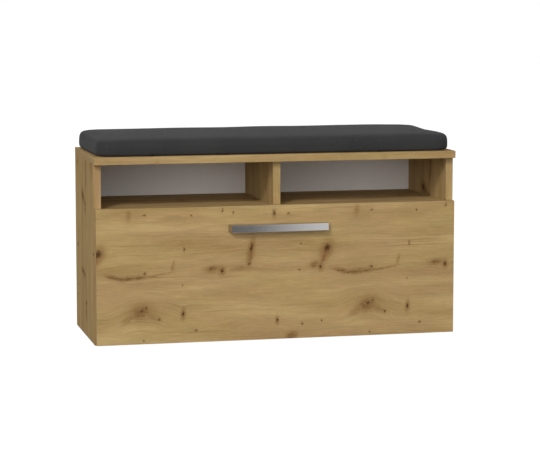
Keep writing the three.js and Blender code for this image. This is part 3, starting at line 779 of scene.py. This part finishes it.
def dress_frame(smooth_tree):
    decor = make_decor()
    laminate = white_laminate()
    hardboard = fibreboard()
    by_slot = {
        "white_board": laminate,
        "steel": plated_steel("plated_steel", srgb(196, 199, 203), 0.3),
        "ball_steel": plated_steel("ball_steel", srgb(208, 210, 213), 0.2),
        "satin_metal": satin_metal(),
        "cast_zinc": cast_zinc(),
        "beech": beech(),
        "tape": tape(),
        "clear_rubber": clear_rubber(),
    }
    for name, node in nodes.items():
        slot = node.data.materials[0].name
        if name in OAK_BOARDS:
            grain, shift, raw_rear = OAK_BOARDS[name]
            dress(node, oak_board(name, decor, grain, shift, raw_rear))
            soften(node, smooth_tree, OAK_EDGE)
        elif name in ("back_panel", "drawer_bottom"):
            dress(node, hardboard)
            soften(node, smooth_tree, THIN_EDGE, 1)
        elif slot == "white_board":
            dress(node, laminate)
            soften(node, smooth_tree, LAMINATE_EDGE)
        elif slot in by_slot:
            dress(node, by_slot[slot])
            soften(node, smooth_tree, HANDLE_EDGE if slot == "satin_metal" else 0)
    return decor, by_slot


# ---- Seat cushion ----

# The pad's box is the cushion's, with its left and right ends moved by CUSHION_ENDS. The pad
# starts a little smaller than that, and swells to it.
CUSHION_START = 3 * MM
CUSHION_START_TOP = 2.4 * MM
CUSHION_ENDS = (-4.6 * MM, -0.2 * MM)
CUSHION_CORNER = 36 * MM
CORNER_STEPS = 8
CUSHION_ROLL_LOW = 7.5 * MM
CUSHION_ROLL_HIGH = 13 * MM
ROLL_STEPS = 6
RIM_ANGLE = math.radians(60)
CUSHION_VOXEL = 5 * MM

# The cloth that inflates the pad, the height up to which it is held, and the longest move.
CLOTH_STEPS = 20
CLOTH_PRESSURE = 3
CLOTH_STIFFNESS = 25
CLOTH_BENDING = 3
CLOTH_HELD = 2 * MM
CUSHION_CAP = 2.5 * MM
CALM_ROUNDS = 8

# The top is crowned and wavy, tilted to the front (first) and the rear, and its front edge
# droops. The front face leans in at its foot and ripples, and its left end is skewed.
CUSHION_CROWN = 3 * MM
CUSHION_WAVE = 1.2 * MM
CUSHION_TILT = (-2.8 * MM, 1.2 * MM)
CUSHION_DROOP = 7 * MM
CUSHION_UNDERCUT = 4 * MM
CUSHION_RIPPLE = 1.4 * MM
CUSHION_SKEW = 5.5 * MM
CUSHION_PULL = 1.5 * MM


def apply_modifiers(piece):
    """Turns what the modifiers make of a piece into its own mesh."""
    depsgraph = bpy.context.evaluated_depsgraph_get()
    mesh = bpy.data.meshes.new_from_object(piece.evaluated_get(depsgraph))
    piece.modifiers.clear()
    old = piece.data
    piece.data = mesh
    bpy.data.meshes.remove(old)


def cushion_block(low, high):
    """The pad before it swells: a block with round corners and soft rims."""
    size = high - low
    box = Matrix.Translation((low + high) / 2) @ Matrix.Diagonal((*size, 1))
    bm = bmesh.new()
    bmesh.ops.create_cube(bm, size=1, matrix=box)

    def round_off(edges, radius, segments):
        bmesh.ops.bevel(
            bm, geom=edges, offset=radius, segments=segments, affect="EDGES", profile=0.5
        )

    def is_rim(edge, level):
        at_level = all(abs(v.co.z - level) < MM for v in edge.verts)
        return at_level and edge.calc_face_angle(0) > RIM_ANGLE

    upright = [e for e in bm.edges if abs(e.verts[0].co.z - e.verts[1].co.z) > size.z / 2]
    round_off(upright, CUSHION_CORNER, CORNER_STEPS)
    for level, roll in ((low.z, CUSHION_ROLL_LOW), (high.z, CUSHION_ROLL_HIGH)):
        round_off([e for e in bm.edges if is_rim(e, level)], roll, ROLL_STEPS)
    mesh = bpy.data.meshes.new("seat_pad")
    bm.to_mesh(mesh)
    bm.free()
    return mesh


def places_of(mesh):
    """The places of a mesh's points, one to a row."""
    values = np.empty(len(mesh.vertices) * 3)
    mesh.vertices.foreach_get("co", values)
    return values.reshape(-1, 3)


def calm(mesh, moves):
    """Averages each point's move with its neighbours', so that only broad swelling is left."""
    ends = np.empty(len(mesh.edges) * 2, dtype=int)
    mesh.edges.foreach_get("vertices", ends)
    first, second = ends.reshape(-1, 2).T
    for _ in range(CALM_ROUNDS):
        total = moves.copy()
        count = np.ones(len(moves))
        for one, other in ((first, second), (second, first)):
            np.add.at(total, one, moves[other])
            np.add.at(count, one, 1)
        moves = total / count[:, None]
    return moves


def swell(piece, bottom):
    """Inflates the pad as cloth, held at its underside, and caps how far a point moves."""
    before = places_of(piece.data)
    held = piece.vertex_groups.new(name="held")
    low_points = [i for i, place in enumerate(before) if place[Z] < bottom + CLOTH_HELD]
    held.add(low_points, 1.0, "REPLACE")
    cloth = piece.modifiers.new("cloth", "CLOTH")
    cloth.settings.vertex_group_mass = "held"
    cloth.settings.use_pressure = True
    cloth.settings.uniform_pressure_force = CLOTH_PRESSURE
    cloth.settings.tension_stiffness = CLOTH_STIFFNESS
    cloth.settings.compression_stiffness = CLOTH_STIFFNESS
    cloth.settings.bending_stiffness = CLOTH_BENDING
    cloth.settings.effector_weights.gravity = 0
    scene = bpy.context.scene
    for step in range(1, CLOTH_STEPS + 1):
        scene.frame_set(step)
    apply_modifiers(piece)
    scene.frame_set(1)
    moves = calm(piece.data, places_of(piece.data) - before)
    reach = np.maximum(np.linalg.norm(moves, axis=1), 0.001 * MM)
    capped = CUSHION_CAP * (1 - np.exp(-reach / CUSHION_CAP))
    piece.data.vertices.foreach_set("co", (before + moves * (capped / reach)[:, None]).ravel())


def noise_along(places, first, second, scales, seed):
    """Smooth noise for each point, from two of its coordinates."""
    scaled = places[:, (first, second)] * scales
    return np.array([noise.noise(Vector((one, other, seed))) for one, other in scaled])


def shape_cushion(mesh, low, high):
    """Brings the swollen pad to its size, draws its sides in, crowns it and lets its front sag."""
    places = places_of(mesh)
    centre = (np.array(low) + np.array(high)) / 2
    half = (np.array(high) - np.array(low)) / 2
    for axis in (X, Y):
        offset = places[:, axis] - centre[axis]
        offset *= half[axis] / np.abs(offset).max()
        places[:, axis] = centre[axis] + offset
    share = (places - centre) / half
    # Each side is drawn in most at its middle, between the corners.
    for axis, other in ((X, Y), (Y, X)):
        between = np.cos(share[:, other] * math.pi / 2)
        places[:, axis] -= CUSHION_PULL * np.sign(share[:, axis]) * share[:, axis] ** 4 * between
    lift = (share[:, Z] + 1) / 2
    crown = (1 - share[:, Y] ** 2) * (1 - share[:, X] ** 6)
    wave = noise_along(places, X, Y, (8, 5), 3.1)
    rear = (share[:, Y] + 1) / 2
    front_edge = np.clip(-share[:, Y], 0, 1) ** 10
    left_end = np.clip(-share[:, X], 0, 1) ** 2
    right_end = np.clip(share[:, X], 0, 1) ** 6
    # The front edge hangs lowest at its left end.
    droop = CUSHION_DROOP * front_edge * (0.85 - 0.15 * share[:, X])
    sag = 1 - 0.9 * right_end + 0.4 * left_end
    tilt = CUSHION_TILT[0] * (1 - rear) * sag + CUSHION_TILT[1] * rear
    places[:, Z] += lift * (CUSHION_CROWN * crown + CUSHION_WAVE * wave + tilt - droop)
    places[:, X] += CUSHION_SKEW * left_end * (1 - rear)
    places[:, Y] += CUSHION_RIPPLE * front_edge * noise_along(places, X, Z, (11, 9), 7.7)
    places[:, Y] += CUSHION_UNDERCUT * front_edge * (1 - lift) ** 2
    places[:, Z] = np.maximum(places[:, Z], low.z)
    mesh.vertices.foreach_set("co", places.ravel())


def make_cushion(material):
    """The padded seat, which takes the place of the plain cushion."""
    low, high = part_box("seat_cushion")
    low = low + Vector((CUSHION_ENDS[0], 0, 0))
    high = high + Vector((CUSHION_ENDS[1], 0, 0))
    start_low = low + Vector((CUSHION_START, CUSHION_START, 0))
    start_high = high - Vector((CUSHION_START, CUSHION_START, CUSHION_START_TOP))
    pad = new_object("seat_pad", cushion_block(start_low, start_high))
    remesh = pad.modifiers.new("remesh", "REMESH")
    remesh.mode = "VOXEL"
    remesh.voxel_size = CUSHION_VOXEL
    apply_modifiers(pad)
    swell(pad, start_low.z)
    shape_cushion(pad.data, low, high)
    smooth = pad.modifiers.new("finer", "SUBSURF")
    smooth.levels = smooth.render_levels = 1
    apply_modifiers(pad)
    pad.data.shade_smooth()
    dress(pad, material)
    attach(pad, "root")
    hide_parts("seat_cushion")


# ---- Small trim ----

# The plate over the handle: the taper of its ends, its bow, and how far it stands off the
# front panel, proud of the bar, over the bar's edge and above it.
COVER_TAPER = 4 * MM
COVER_BOW = 3 * MM
COVER_GAP = 0.05 * MM
COVER_PROUD = 0.1 * MM
COVER_OVERLAP = 0.8 * MM
COVER_RISE = 1.2 * MM
COVER_STEPS = 24

# A disc's rim is upright up to this share of its height, and its top this wide.
DISC_RIM = 0.6
DISC_TOP = 0.8

CAP_RADIUS = 8.8 * MM
CAP_HEIGHT = 0.35 * MM
CAP_SEGMENTS = 32

# The nails stand in from the panel's edges, and the lowest row is lifted a little.
NAIL_RADIUS = 2.6 * MM
NAIL_HEIGHT = 0.5 * MM
NAIL_SEGMENTS = 16
NAIL_INSET = 6 * MM
NAIL_LIFT = 4 * MM
NAILS_ACROSS = 9
NAILS_UPRIGHT = 5


def disc(bm, place, direction, radius, height, segments):
    """A low disc with a domed rim, standing on a face."""
    turn = direction.to_track_quat("Z", "Y").to_matrix().to_4x4()
    rings = [(radius, 0.0), (radius, height * DISC_RIM), (radius * DISC_TOP, height)]
    made = []
    for reach, rise in rings:
        ring = []
        for i in range(segments):
            angle = 2 * math.pi * i / segments
            local = Vector((reach * math.cos(angle), reach * math.sin(angle), rise))
            ring.append(bm.verts.new(place + turn @ local))
        made.append(ring)
    for below, above in zip(made, made[1:]):
        for i in range(segments):
            follow = (i + 1) % segments
            bm.faces.new((below[i], below[follow], above[follow], above[i]))
    bm.faces.new(made[-1])
    bm.faces.new(list(reversed(made[0])))


def add_discs(name, body, material, places, radius, height, segments):
    """One piece of equal discs, one at each place and looking in its direction."""
    bm = bmesh.new()
    for place, direction in places:
        disc(bm, place, direction, radius, height, segments)
    mesh = bpy.data.meshes.new(name)
    bm.to_mesh(mesh)
    bm.free()
    piece = new_object(name, mesh)
    dress(piece, material)
    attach(piece, body)


def add_handle_cover(material, smooth_tree):
    """A thin plate over the bow and its legs, in their outline, that closes the gap from above."""
    low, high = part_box("handle")
    centre = (low.x + high.x) / 2
    half = (high.x - low.x) / 2
    rear = FRONT - COVER_GAP
    outline = [(-half, rear), (half, rear)]
    for i in range(COVER_STEPS + 1):
        across = 1 - 2 * i / COVER_STEPS
        bow = low.y - COVER_PROUD + COVER_BOW * across**2
        outline.append(((half - COVER_TAPER) * across, bow))
    bm = bmesh.new()
    levels = (high.z - COVER_OVERLAP, high.z + COVER_RISE)
    under, over = [[bm.verts.new((centre + x, y, z)) for x, y in outline] for z in levels]
    for i in range(len(outline)):
        follow = (i + 1) % len(outline)
        bm.faces.new((under[i], under[follow], over[follow], over[i]))
    bm.faces.new(list(reversed(under)))
    bm.faces.new(over)
    mesh = bpy.data.meshes.new("handle_cover")
    bm.to_mesh(mesh)
    bm.free()
    cover = new_object("handle_cover", mesh)
    dress(cover, material)
    soften(cover, smooth_tree, HANDLE_EDGE)
    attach(cover, "drawer")


def add_cam_caps(decor):
    """Self-adhesive caps in the board's decor over the cams that open into the niches."""
    for side, sign in (("left", -1), ("right", 1)):
        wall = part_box("side_panel_" + side)[1 if sign < 0 else 0].x
        places = []
        for row in ("front", "rear"):
            low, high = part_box(f"cam_top_{side}_{row}")
            centre = (low + high) / 2
            # The cam is round and its bolt stands up from it: its own centre is a radius up.
            height = low.z + (centre.y - low.y)
            places.append((Vector((wall, centre.y, height)), Vector((-sign, 0, 0))))
        material = oak_board("side_panel_" + side, decor, Z, SIDE_SHIFT, False)
        add_discs(
            f"cam_caps_{side}", "root", material, places,
            CAP_RADIUS, CAP_HEIGHT, CAP_SEGMENTS,
        )


def add_back_nails(material):
    """Flat-headed nails round the back panel, a little in from its edges."""
    low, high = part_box("back_panel")
    places = []
    back = Vector((0, 1, 0))
    for i in range(NAILS_ACROSS):
        x = low.x + NAIL_INSET + (high.x - low.x - 2 * NAIL_INSET) * i / (NAILS_ACROSS - 1)
        for z in (low.z + NAIL_INSET + NAIL_LIFT, high.z - NAIL_INSET):
            places.append((Vector((x, high.y, z)), back))
    for i in range(1, NAILS_UPRIGHT):
        z = low.z + (high.z - low.z) * i / NAILS_UPRIGHT
        for x in (low.x + NAIL_INSET, high.x - NAIL_INSET):
            places.append((Vector((x, high.y, z)), back))
    add_discs(
        "back_nails", "root", material, places,
        NAIL_RADIUS, NAIL_HEIGHT, NAIL_SEGMENTS,
    )


make_camera()
for name, (place, size, level) in LAMPS.items():
    add_lamp(name, place, size, level)
make_stage()
make_card("flag", FLAG_LOW, FLAG_HIGH, FLAG_FADE, FLAG_LEVEL)
make_card("canopy", CANOPY_LOW, CANOPY_HIGH, CANOPY_FADE, CANOPY_LEVEL)
smooth_tree = smoothing()
decor, finishes = dress_frame(smooth_tree)
make_cushion(fabric())
add_handle_cover(finishes["satin_metal"], smooth_tree)
add_cam_caps(decor)
add_back_nails(finishes["steel"])

bpy.context.scene.view_settings.view_transform = "Standard"
